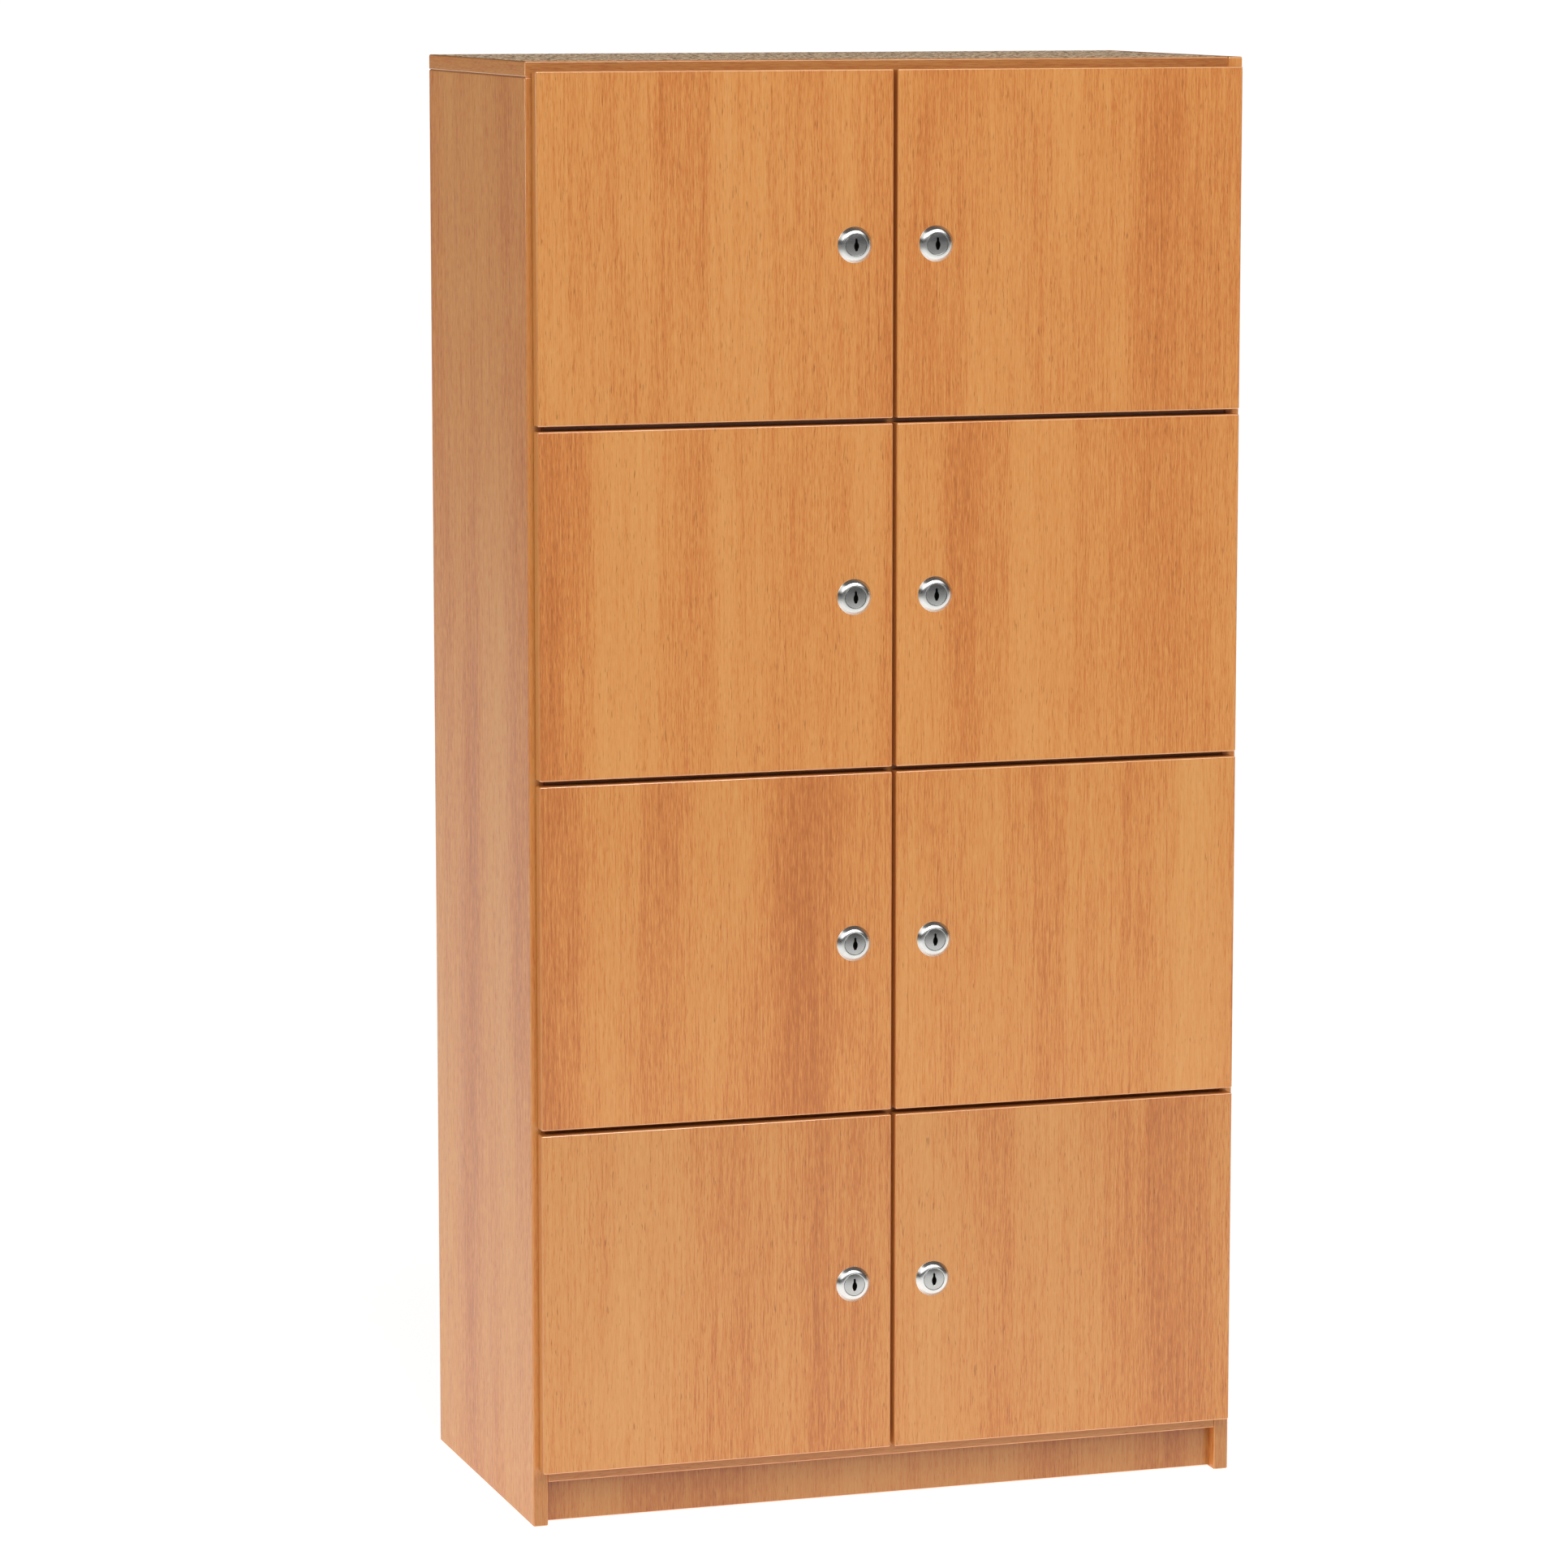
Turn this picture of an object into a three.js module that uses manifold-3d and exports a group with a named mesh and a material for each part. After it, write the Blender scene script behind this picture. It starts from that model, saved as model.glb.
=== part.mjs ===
// Eight-door wooden locker with coin deposit locks: a 19 mm board carcass, a notched partition and
// cross-lapped shelves, and eight half-overlay doors, each with two single-pivot cup hinges and a lock.
// Millimetres, +X right, +Y to the back, +Z up. The origin is on the floor, at the centre of the box
// that holds the whole locker. Rows are numbered from the top; l and r are the left and right columns.
import * as THREE from "three";
import { mergeVertices } from "three/addons/utils/BufferGeometryUtils.js";
import Module from "manifold-3d";

const wasm = await Module();
wasm.setup();

// ---- driving dimensions ----
const WIDTH = 924;
const HEIGHT = 1800;
const CARCASS_DEPTH = 454;
const BOARD = 19;
const ROWS = 4;

const DOOR_GAP = 1.5; // the bumpers hold each door this far off the carcass
const DOOR_HEIGHT = 425;
const ROW_GAP = 6;
const COLUMN_GAP = 5;
const SIDE_REVEAL = 7.5; // how much of each side board's front edge the doors leave uncovered
const TOP_REVEAL = 11.5;

const PLINTH_HEIGHT = 55.5;
const PLINTH_SETBACK = 18;
const PLINTH_LIFT = 2; // the locker stands on its side boards, so the plinth boards stay off the floor
const BACK_BOARD = 8;
const BACK_INSET = 2;
const TOP_SHEET = 1;
const EDGE_BAND = 2;
const LAP_CLEARANCE = 0.3; // between a shelf and the partition where they cross

const HINGE_INSET = 85; // hinge centre to the door's top or bottom edge
const PIVOT_FROM_EDGE = 4.5;
const PIVOT_DEPTH = BOARD / 2; // in from the door's rear face, so that both outer corners swing clear
const CUP = { radius: 17.5, depth: 12.5, fromEdge: 22.5, steps: 20 };
const KNUCKLE = { radius: 2.4, steps: 16 };
const KNUCKLE_CLEARANCE = 0.5;
const ARM = { height: 12, thick: 2.5, front: 4, reach: 46 }; // front and reach: back from the boards' fronts
const ARM_OVERLAP = 2; // the neck runs this far into the arm
const POCKET_PLAY = 1; // above and below the arm
const PLATE = { height: 44, thick: 2, front: 10, back: 46 };

const LOCK_BACKSET = 50; // lock axis to the door's free edge
const LOCK_PROUD = 6.5; // the plug's crowned face and the rosette together form a low dome
const ROSETTE_RADIUS = 22;
// [radius, back from the front]
const ROSETTE_DOME = [[13.6, 2], [14.3, 1.5], [16.8, 2.3], [19.2, 3.5], [20.9, 4.7]];
const SEAT_PROUD = 1.5; // the floor of the plug's seat stands this far in front of the door's face
const PLUG_CROWN = [[0, 0], [5, 0.2], [9.5, 0.7], [13, 1.4], [13.3, 1.8]];
const PLUG_FACE_RADIUS = PLUG_CROWN[PLUG_CROWN.length - 1][0];
const PLUG_SHAFT_RADIUS = 8;
const LOCK_CLEARANCE = 0.3;
const TUBE_RADIUS = 11.7;
const TUBE_STEPS = 20;
const KEYHOLE = { halfWidth: 1, top: 7, bottom: -7, depth: 9.6 };
const KEY_BOW = { radius: 2.6, centre: -2.4, steps: 12 };
const CASE = { inner: -22, outer: 38, bottom: -42, top: 54, depth: 26, wall: 2 };
const CASE_HOLE_PLAY = 2; // round the plug's shaft, inside the tube
const CRANK_RADIUS = 10;
const CRANK_THICK = 3;
const PIN = { offset: 7.5, radius: 2, shortfall: 1, steps: 12 };
const PIN_REACH = PIN.offset * Math.SQRT1_2; // across, at 45 degrees; a quarter turn takes it as far back
const PIN_SLOT = { play: 0.6, bottom: 2.6, top: 10.2 };
const BOLT = { front: 10, thick: 8, height: 24, proud: 0.5, length: 52 };
const MORTISE_PLAY = 0.75; // round a thrown bolt, in the mortise that both columns' bolts enter
const COIN_CENTRE = 8; // from the lock's axis towards the partition
const COIN_SLOT = { length: 27, width: 3.2, fromRear: 8 };
const COIN_RETURN = { width: 32, height: 24 };
const ROUND_STEPS = 24;
const CUT_OVERSHOOT = 1; // cutting tools run this far past the faces they break through

// ---- places that follow from them ----
const FRONT = -(CARCASS_DEPTH + DOOR_GAP + BOARD + LOCK_PROUD) / 2 + DOOR_GAP + BOARD + LOCK_PROUD;
const BACK = FRONT + CARCASS_DEPTH;
const INSIDE_BACK = BACK - BACK_INSET - BACK_BOARD;
const RIGHT = WIDTH / 2;
const INSIDE_RIGHT = RIGHT - BOARD;
const FLOOR_TOP = PLINTH_HEIGHT + BOARD;
const CEILING = HEIGHT - BOARD;
const DOOR_REAR = FRONT - DOOR_GAP;
const DOOR_FACE = DOOR_REAR - BOARD;
const DOOR_OUTER = RIGHT - SIDE_REVEAL;
const DOOR_FREE = COLUMN_GAP / 2;
const doorTop = (row) => HEIGHT - TOP_REVEAL - row * (DOOR_HEIGHT + ROW_GAP);
const doorCentre = (row) => doorTop(row) - DOOR_HEIGHT / 2;
const shelfBottom = (row) => doorTop(row) - DOOR_HEIGHT - ROW_GAP / 2 - BOARD / 2;
const LAP_MIDDLE = (FRONT + INSIDE_BACK) / 2;

// ---- solids ----
// A box from its lowest to its highest corner.
function box(x0, x1, y0, y1, z0, z1) {
  return new THREE.BoxGeometry(x1 - x0, y1 - y0, z1 - z0)
    .translate((x0 + x1) / 2, (y0 + y1) / 2, (z0 + z1) / 2);
}

// A disc or bar of round section along Y.
function rodY(radius, x, y0, y1, z, steps = ROUND_STEPS) {
  return new THREE.CylinderGeometry(radius, radius, y1 - y0, steps).translate(x, (y0 + y1) / 2, z);
}

// A disc or bar of round section along Z.
function rodZ(radius, x, y, z0, z1, steps = ROUND_STEPS) {
  return new THREE.CylinderGeometry(radius, radius, z1 - z0, steps)
    .rotateX(Math.PI / 2)
    .translate(x, y, (z0 + z1) / 2);
}

// A profile of [radius, y] points turned about Y.
function turnedY(points, steps = ROUND_STEPS) {
  return new THREE.LatheGeometry(points.map(([r, y]) => new THREE.Vector2(r, y)), steps);
}

// The closed solid that a geometry's triangles bound.
function solid(geometry) {
  const bare = geometry.clone();
  bare.deleteAttribute("normal");
  bare.deleteAttribute("uv");
  const merged = mergeVertices(bare, 1e-4);
  return new wasm.Manifold(new wasm.Mesh({
    numProp: 3,
    vertProperties: merged.attributes.position.array,
    triVerts: new Uint32Array(merged.index.array),
  }));
}

const joined = (...geometries) => geometries.map(solid).reduce((a, b) => a.add(b));
const cutFrom = (body, ...geometries) => geometries.map(solid).reduce((a, b) => a.subtract(b), body);

function geometryOf(body) {
  const mesh = body.getMesh();
  const corners = new Float32Array(mesh.numVert * 3);
  for (let i = 0; i < mesh.numVert; i++) {
    corners.set(mesh.vertProperties.subarray(i * mesh.numProp, i * mesh.numProp + 3), i * 3);
  }
  const made = new THREE.BufferGeometry();
  made.setAttribute("position", new THREE.BufferAttribute(corners, 3));
  made.setIndex(new THREE.BufferAttribute(new Uint32Array(mesh.triVerts), 1));
  made.computeVertexNormals();
  return made;
}

// ---- materials ----
const finish = (color, roughness, metalness) =>
  new THREE.MeshStandardMaterial({ color, roughness, metalness });
const beech = finish(0xd3965c, 0.5, 0);
const beechEdge = finish(0xbd7a40, 0.55, 0);
const speckled = finish(0x8a7d70, 0.7, 0);
const backBoard = finish(0xc79361, 0.6, 0);
const satinMetal = finish(0xb8bab9, 0.3, 1);
const darkMetal = finish(0x8e9192, 0.35, 1);
const zinc = finish(0xa7a9a8, 0.4, 1);

const locker = new THREE.Group();

function place(name, geometry, material) {
  const mesh = new THREE.Mesh(geometry, material);
  mesh.name = name;
  locker.add(mesh);
}

// ---- carcass ----
function boards() {
  place("left_side", box(-RIGHT, -INSIDE_RIGHT, FRONT, BACK, 0, CEILING), beech);
  place("right_side", box(INSIDE_RIGHT, RIGHT, FRONT, BACK, 0, HEIGHT), beech);
  const sheet = box(-RIGHT + EDGE_BAND, INSIDE_RIGHT,
    FRONT + EDGE_BAND, BACK - EDGE_BAND, HEIGHT - TOP_SHEET, HEIGHT);
  const top = cutFrom(solid(box(-RIGHT, INSIDE_RIGHT, FRONT, BACK, CEILING, HEIGHT)), sheet);
  place("top_panel", geometryOf(top), beechEdge);
  place("top_sheet", sheet, speckled);
  place("bottom_panel",
    box(-INSIDE_RIGHT, INSIDE_RIGHT, FRONT, INSIDE_BACK, PLINTH_HEIGHT, FLOOR_TOP), beechEdge);
  const plinth = (front) =>
    box(-INSIDE_RIGHT, INSIDE_RIGHT, front, front + BOARD, PLINTH_LIFT, PLINTH_HEIGHT);
  place("plinth_board", plinth(FRONT + PLINTH_SETBACK), beech);
  place("rear_plinth_board", plinth(INSIDE_BACK - BOARD), beech);
  place("back_panel",
    box(-INSIDE_RIGHT, INSIDE_RIGHT, INSIDE_BACK, BACK - BACK_INSET, PLINTH_HEIGHT, CEILING), backBoard);
}

// The partition is notched from the front and each shelf from the back, so that they slide together.
function shelf(row) {
  const z = shelfBottom(row);
  const notchHalf = BOARD / 2 + LAP_CLEARANCE;
  return cutFrom(
    solid(box(-INSIDE_RIGHT, INSIDE_RIGHT, FRONT, INSIDE_BACK, z, z + BOARD)),
    box(-notchHalf, notchHalf, LAP_MIDDLE - LAP_CLEARANCE, INSIDE_BACK + CUT_OVERSHOOT,
      z - CUT_OVERSHOOT, z + BOARD + CUT_OVERSHOOT));
}

function partitionNotch(row) {
  const z = shelfBottom(row);
  return box(-BOARD, BOARD, FRONT - CUT_OVERSHOOT, LAP_MIDDLE, z - LAP_CLEARANCE, z + BOARD + LAP_CLEARANCE);
}

function boltMortise(row) {
  const z = doorCentre(row);
  const half = BOLT.height / 2 + MORTISE_PLAY;
  const front = FRONT + BOLT.front - MORTISE_PLAY;
  return box(-BOARD, BOARD, front, front + BOLT.thick + 2 * MORTISE_PLAY, z - half, z + half);
}

function partitionAndShelves() {
  let partition = solid(box(-BOARD / 2, BOARD / 2, FRONT, INSIDE_BACK, FLOOR_TOP, CEILING));
  for (let row = 0; row < ROWS; row++) {
    partition = cutFrom(partition, boltMortise(row));
    if (row < ROWS - 1) {
      partition = cutFrom(partition, partitionNotch(row));
      place(`shelf_${row + 1}`, geometryOf(shelf(row)), beechEdge);
    }
  }
  place("centre_partition", geometryOf(partition), beechEdge);
}

// ---- doors ----
// side is -1 in the left column and 1 in the right one. The hinges are on the outer edge.
const hingeHeights = (row) => [
  ["upper", doorTop(row) - HINGE_INSET],
  ["lower", doorTop(row) - DOOR_HEIGHT + HINGE_INSET],
];
const lockAxis = (side) => side * (DOOR_FREE + LOCK_BACKSET);
const PIVOT_Y = DOOR_REAR - PIVOT_DEPTH;

// A box given by distances from the door's outer edge, inwards.
function boxFromEdge(side, u0, u1, y0, y1, z0, z1) {
  const [a, b] = [side * (DOOR_OUTER - u0), side * (DOOR_OUTER - u1)];
  return box(Math.min(a, b), Math.max(a, b), y0, y1, z0, z1);
}

function door(side, row, label) {
  const top = doorTop(row);
  let panel = solid(boxFromEdge(side, 0, DOOR_OUTER - DOOR_FREE,
    DOOR_FACE, DOOR_REAR, top - DOOR_HEIGHT, top));
  const cupFloor = DOOR_REAR - CUP.depth;
  const pastRear = DOOR_REAR + CUT_OVERSHOOT;
  const pocketHalf = ARM.height / 2 + POCKET_PLAY;
  for (const [, z] of hingeHeights(row)) {
    panel = cutFrom(panel,
      rodY(CUP.radius, side * (DOOR_OUTER - CUP.fromEdge), cupFloor, pastRear, z, CUP.steps),
      boxFromEdge(side, PIVOT_FROM_EDGE - KNUCKLE.radius - KNUCKLE_CLEARANCE, CUP.fromEdge,
        cupFloor, pastRear, z - pocketHalf, z + pocketHalf));
  }
  panel = cutFrom(panel, rodY(TUBE_RADIUS + LOCK_CLEARANCE, lockAxis(side),
    DOOR_FACE - CUT_OVERSHOOT, pastRear, doorCentre(row), TUBE_STEPS));
  place(`door_${label}`, geometryOf(panel), beech);
}

// A single-pivot cup hinge's arm: a knuckle in the door's cup, a neck round the side board's front
// edge, and an arm with a wing plate on the board's inner face.
function hingeArm(side, z, name) {
  const [bottom, top] = [z - ARM.height / 2, z + ARM.height / 2];
  const boardFace = BOARD - SIDE_REVEAL;
  const cornerSwing = Math.hypot(PIVOT_FROM_EDGE, PIVOT_DEPTH);
  const neck = Math.ceil(PIVOT_FROM_EDGE + cornerSwing + KNUCKLE_CLEARANCE);
  const neckFar = neck + ARM.thick;
  const [pinFront, pinBack] = [PIVOT_Y - ARM.thick / 2, PIVOT_Y + ARM.thick / 2];
  const armFront = FRONT + ARM.front;
  const body = joined(
    rodZ(KNUCKLE.radius, side * (DOOR_OUTER - PIVOT_FROM_EDGE), PIVOT_Y, bottom, top, KNUCKLE.steps),
    boxFromEdge(side, PIVOT_FROM_EDGE, neckFar, pinFront, pinBack, bottom, top),
    boxFromEdge(side, neck, neckFar, pinFront, armFront + ARM_OVERLAP, bottom, top),
    boxFromEdge(side, boardFace, neckFar, armFront, armFront + ARM.reach, bottom, top),
    boxFromEdge(side, boardFace, boardFace + PLATE.thick, FRONT + PLATE.front, FRONT + PLATE.back,
      z - PLATE.height / 2, z + PLATE.height / 2));
  place(name, geometryOf(body), zinc);
}

// ---- locks ----
// A box given from a lock's axis: u runs towards the partition, z upwards, y is absolute.
function boxFromLock(side, row, u0, u1, y0, y1, z0, z1) {
  const z = doorCentre(row);
  const [a, b] = [lockAxis(side) - side * u0, lockAxis(side) - side * u1];
  return box(Math.min(a, b), Math.max(a, b), y0, y1, z + z0, z + z1);
}

const LOCK_FRONT = DOOR_FACE - LOCK_PROUD;
const SEAT_FLOOR = DOOR_FACE - SEAT_PROUD;
const PLUG_BORE = PLUG_SHAFT_RADIUS + LOCK_CLEARANCE;
const setBack = (profile) => profile.map(([radius, back]) => [radius, LOCK_FRONT + back]);
const BOLT_FRONT = FRONT + BOLT.front;
const BOLT_REAR = BOLT_FRONT + BOLT.thick;

// The domed ring on the door's face and the tube that runs back through the door to the case.
function rosetteAndTube() {
  const caseFloor = DOOR_REAR + CASE.wall;
  return turnedY([
    [PLUG_BORE, caseFloor],
    [PLUG_BORE, SEAT_FLOOR],
    [ROSETTE_DOME[0][0], SEAT_FLOOR],
    ...setBack(ROSETTE_DOME),
    [ROSETTE_RADIUS, DOOR_FACE],
    [TUBE_RADIUS, DOOR_FACE],
    [TUBE_RADIUS, DOOR_REAR],
    [TUBE_RADIUS, caseFloor],
    [PLUG_BORE, caseFloor],
  ]);
}

// The case is a shell: the bolt leaves it beside the partition, a coin goes in at its top and comes
// back below.
function lockBody(side, row, label) {
  const [x, z] = [lockAxis(side), doorCentre(row)];
  const { inner, outer, bottom, top, depth, wall } = CASE;
  const rear = DOOR_REAR + depth;
  const boltHalf = BOLT.height / 2 + LOCK_CLEARANCE;
  const slotHalf = COIN_SLOT.length / 2;
  const slotRear = rear - COIN_SLOT.fromRear;
  const returnHalf = COIN_RETURN.width / 2;
  const shell = cutFrom(
    solid(boxFromLock(side, row, inner, outer, DOOR_REAR, rear, bottom, top)),
    boxFromLock(side, row, inner + wall, outer - wall,
      DOOR_REAR + wall, rear - wall, bottom + wall, top - wall),
    boxFromLock(side, row, outer - wall - CUT_OVERSHOOT, outer + CUT_OVERSHOOT,
      BOLT_FRONT - LOCK_CLEARANCE, BOLT_REAR + LOCK_CLEARANCE, -boltHalf, boltHalf),
    boxFromLock(side, row, COIN_CENTRE - slotHalf, COIN_CENTRE + slotHalf,
      slotRear - COIN_SLOT.width, slotRear, top - wall - CUT_OVERSHOOT, top + CUT_OVERSHOOT),
    boxFromLock(side, row, COIN_CENTRE - returnHalf, COIN_CENTRE + returnHalf,
      rear - wall - CUT_OVERSHOOT, rear + CUT_OVERSHOOT, bottom + wall, bottom + wall + COIN_RETURN.height),
    rodY(PLUG_BORE + CASE_HOLE_PLAY, x, DOOR_REAR - CUT_OVERSHOOT, DOOR_REAR + wall + CUT_OVERSHOOT, z));
  const body = shell.add(solid(rosetteAndTube().translate(x, 0, z)));
  place(`lock_body_${label}`, geometryOf(body), satinMetal);
}

// The plug that the key turns, with its crank disc and drive pin. Its keyhole stands upright at rest.
function lockPlug(side, row, label) {
  const [x, z] = [lockAxis(side), doorCentre(row)];
  const faceBack = SEAT_FLOOR - LOCK_CLEARANCE;
  const crankRear = BOLT_FRONT - LOCK_CLEARANCE;
  const crankFront = crankRear - CRANK_THICK;
  const plug = joined(
    turnedY([
      ...setBack(PLUG_CROWN),
      [PLUG_FACE_RADIUS, faceBack],
      [PLUG_SHAFT_RADIUS, faceBack],
      [PLUG_SHAFT_RADIUS, crankFront],
      [CRANK_RADIUS, crankFront],
      [CRANK_RADIUS, crankRear],
      [0, crankRear],
    ]).translate(x, 0, z),
    rodY(PIN.radius, x + side * PIN_REACH, crankFront, crankRear + BOLT.thick - PIN.shortfall,
      z + PIN_REACH, PIN.steps));
  const [keyFront, keyEnd] = [LOCK_FRONT - CUT_OVERSHOOT, LOCK_FRONT + KEYHOLE.depth];
  const keyhole = joined(
    box(x - KEYHOLE.halfWidth, x + KEYHOLE.halfWidth, keyFront, keyEnd, z + KEYHOLE.bottom, z + KEYHOLE.top),
    rodY(KEY_BOW.radius, x, keyFront, keyEnd, z + KEY_BOW.centre, KEY_BOW.steps));
  place(`lock_plug_${label}`, geometryOf(plug.subtract(keyhole)), darkMetal);
}

// The bolt: a bar with an upright slot for the drive pin. It rests drawn back, just proud of the case.
function lockBolt(side, row, label) {
  const half = BOLT.height / 2;
  const tip = CASE.outer + BOLT.proud;
  const slotHalf = PIN.radius + PIN_SLOT.play;
  const bolt = cutFrom(
    solid(boxFromLock(side, row, tip - BOLT.length, tip, BOLT_FRONT, BOLT_REAR, -half, half)),
    boxFromLock(side, row, -PIN_REACH - slotHalf, -PIN_REACH + slotHalf,
      BOLT_FRONT - CUT_OVERSHOOT, BOLT_REAR + CUT_OVERSHOOT, PIN_SLOT.bottom, PIN_SLOT.top));
  place(`lock_bolt_${label}`, geometryOf(bolt), zinc);
}

boards();
partitionAndShelves();
for (const [column, side] of [["l", -1], ["r", 1]]) {
  for (let row = 0; row < ROWS; row++) {
    const label = `${column}${row + 1}`;
    door(side, row, label);
    for (const [where, z] of hingeHeights(row)) {
      hingeArm(side, z, `hinge_arm_${label}_${where}`);
    }
    lockBody(side, row, label);
    lockPlug(side, row, label);
    lockBolt(side, row, label);
  }
}

export default locker;
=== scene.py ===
"""Looks of the eight-door coin locker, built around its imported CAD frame.

Metres, in the locker's frame: +X right, +Y to the back, +Z up, with the floor at z = 0. Rows are numbered
from the top, and l and r are the left and right columns.
"""
import math
from types import SimpleNamespace

import bmesh
import bpy
from mathutils import Matrix, Vector


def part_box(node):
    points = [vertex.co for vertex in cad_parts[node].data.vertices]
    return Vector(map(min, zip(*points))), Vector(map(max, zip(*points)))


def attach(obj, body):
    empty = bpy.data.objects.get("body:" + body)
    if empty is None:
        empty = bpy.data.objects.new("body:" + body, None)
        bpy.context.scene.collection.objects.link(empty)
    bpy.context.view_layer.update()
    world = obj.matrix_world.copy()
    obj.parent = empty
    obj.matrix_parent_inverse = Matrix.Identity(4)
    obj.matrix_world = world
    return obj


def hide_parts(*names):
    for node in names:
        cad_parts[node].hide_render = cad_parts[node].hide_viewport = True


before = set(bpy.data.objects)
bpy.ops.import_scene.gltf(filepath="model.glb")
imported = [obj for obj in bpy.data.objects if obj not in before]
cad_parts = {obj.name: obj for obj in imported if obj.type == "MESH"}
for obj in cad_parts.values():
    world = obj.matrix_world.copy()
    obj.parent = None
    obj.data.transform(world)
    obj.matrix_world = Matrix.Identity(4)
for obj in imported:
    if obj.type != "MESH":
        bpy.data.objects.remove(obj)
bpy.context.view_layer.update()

# ---- driving dimensions ----
MM = 0.001
AXES = "xyz"
ROWS = (1, 2, 3, 4)
COLUMNS = (("l", -1), ("r", 1))
BEYOND = 5 * MM  # how far a cutter reaches past what it cuts
SAME = 0.1 * MM  # places closer together than this count as one
PLAY = 0.3 * MM  # clearance around a piece that slides or laps

BOARD_ARRIS = 2 * MM
DOOR_ARRIS = 2.2 * MM
PLINTH_ARRIS = 0.8 * MM
REAR_PLINTH_ARRIS = 0.5 * MM
BACK_ARRIS = 0.4 * MM
SHEET_ARRIS = 0.2 * MM
ARRIS_STEPS = 4
MORTISE_PLAY = 0.75 * MM
# Painted shade: the lower rows of doors are darkened, against the light from the glowing floor.
DOOR_PAINTED_SHADE = {1: 1.0, 2: 1.0, 3: 0.97, 4: 0.9}

HINGE_INSET = 85 * MM
CUP_FROM_EDGE = 22.5 * MM
CUP_RADIUS = 17.5 * MM
CUP_DEPTH = 12.5 * MM
CUP_WALL = 0.6 * MM
MOUTH_FROM_EDGE = 1.6 * MM
POCKET_HALF_HEIGHT = 7 * MM
WING_THICK = 0.9 * MM
WING_HALF_HEIGHT = 27 * MM
WING_SCREW = 22.5 * MM
PIVOT_FROM_EDGE = 4.5 * MM
PIVOT_DEPTH = 9.5 * MM
ARM_HALF_HEIGHT = 6 * MM
ARM_HALF_THICK = 1.25 * MM
PLATE_THICK = 2 * MM
PLATE_HALF_HEIGHT = 22 * MM

LOCK_BACKSET = 50 * MM
LOCK_BORE = 12 * MM
ROSETTE_RADIUS = 22 * MM
TUBE_RADIUS = 11.7 * MM
TUBE_BORE = 8.3 * MM
PLUG_RADIUS = 13.3 * MM
PLUG_CROWN = 0.95 * MM
PLUG_CHAMFER = 0.3 * MM
PLUG_SEAT = 1.8 * MM
SHAFT_RADIUS = 8 * MM
CRANK_RADIUS = 10 * MM
CRANK_THICK = 3 * MM
PIN_ARM = 7.5 * MM
PIN_LENGTH = 7 * MM
PIN_RADIUS = 2 * MM
KEYHOLE_DEPTH = 9 * MM
CASE_OUTER = 38 * MM
CASE_INNER = 22 * MM
CASE_WALL = 2 * MM
CASE_ARRIS = 2.4 * MM
COIN_OFFSET = 8 * MM
COIN_SLOT = (13.5 * MM, 1.6 * MM)  # half its width and half its thickness
COIN_SLOT_FROM_REAR = 9.6 * MM
BUMPER_RADIUS = 3.2 * MM
BUMPER_THICK = 1.35 * MM

# Turned profiles, as (radius, y) in millimetres. The cup's y is behind the door's rear face.
CUP_OUTSIDE = [(0, -12.3), (16.2, -12.3), (17.2, -11.3), (17.2, 0), (18.6, 0), (18.9, 0.5), (18.5, 0.9),
               (0, 0.9)]
CUP_BOWL = [(0, -11.8), (15.2, -11.8), (16.5, -10.5), (16.5, 3), (0, 3)]
KNUCKLE = [(0, -6), (2.1, -6), (2.4, -5.7), (2.4, 5.7), (2.1, 6), (0, 6)]
# The rosette's y is back from the plug's foremost point: a flat dome that turns down at its rim.
ROSETTE_DOME = [(13.6, 1.5), (13.65, 1.25), (13.8, 1.06), (14.1, 0.98), (14.5, 1.02), (15.2, 1.2),
                (16.0, 1.46), (16.8, 1.77), (17.4, 2.05), (17.9, 2.36), (18.4, 2.73), (18.9, 3.18),
                (19.4, 3.68), (19.9, 4.2), (20.4, 4.74), (20.9, 5.28), (21.4, 5.84), (21.8, 6.3)]
# The right half of the keyhole's outline, as (x, z) in millimetres from the plug's axis.
KEYHOLE = [(0.0, 8.2), (0.9, 7.9), (1.3, 7.0), (1.4, 3.4), (2.3, 1.8), (2.9, 0.0), (3.0, -2.0),
           (2.7, -3.8), (2.0, -5.2), (1.8, -6.6), (1.1, -7.4), (0.0, -7.6)]
# A screw head, in parts of its radius and its height.
SCREW_HEAD = [(0, -1), (0.5, -0.93), (0.84, -0.6), (1, -0.12)]
SCREW_SINK = 0.3 * MM


# ---- small helpers ----
def srgb(red, green, blue):
    """A linear colour from 8-bit sRGB values."""
    def linear(value):
        value /= 255
        return value / 12.92 if value <= 0.04045 else ((value + 0.055) / 1.055) ** 2.4
    return (linear(red), linear(green), linear(blue), 1.0)


def placed(profile, y):
    """A profile's millimetre points in metres, with its own y measured from the given one."""
    return [(radius * MM, y + back * MM) for radius, back in profile]


def mesh_from(bm, name):
    """A mesh made from the bmesh, with its normals facing out."""
    mesh = bpy.data.meshes.new(name)
    bmesh.ops.recalc_face_normals(bm, faces=bm.faces)
    bm.to_mesh(mesh)
    bm.free()
    return mesh


def temporary(mesh):
    """A throwaway object that holds the mesh while a modifier works on it."""
    obj = bpy.data.objects.new("temporary", mesh)
    bpy.context.scene.collection.objects.link(obj)
    return obj


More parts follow.
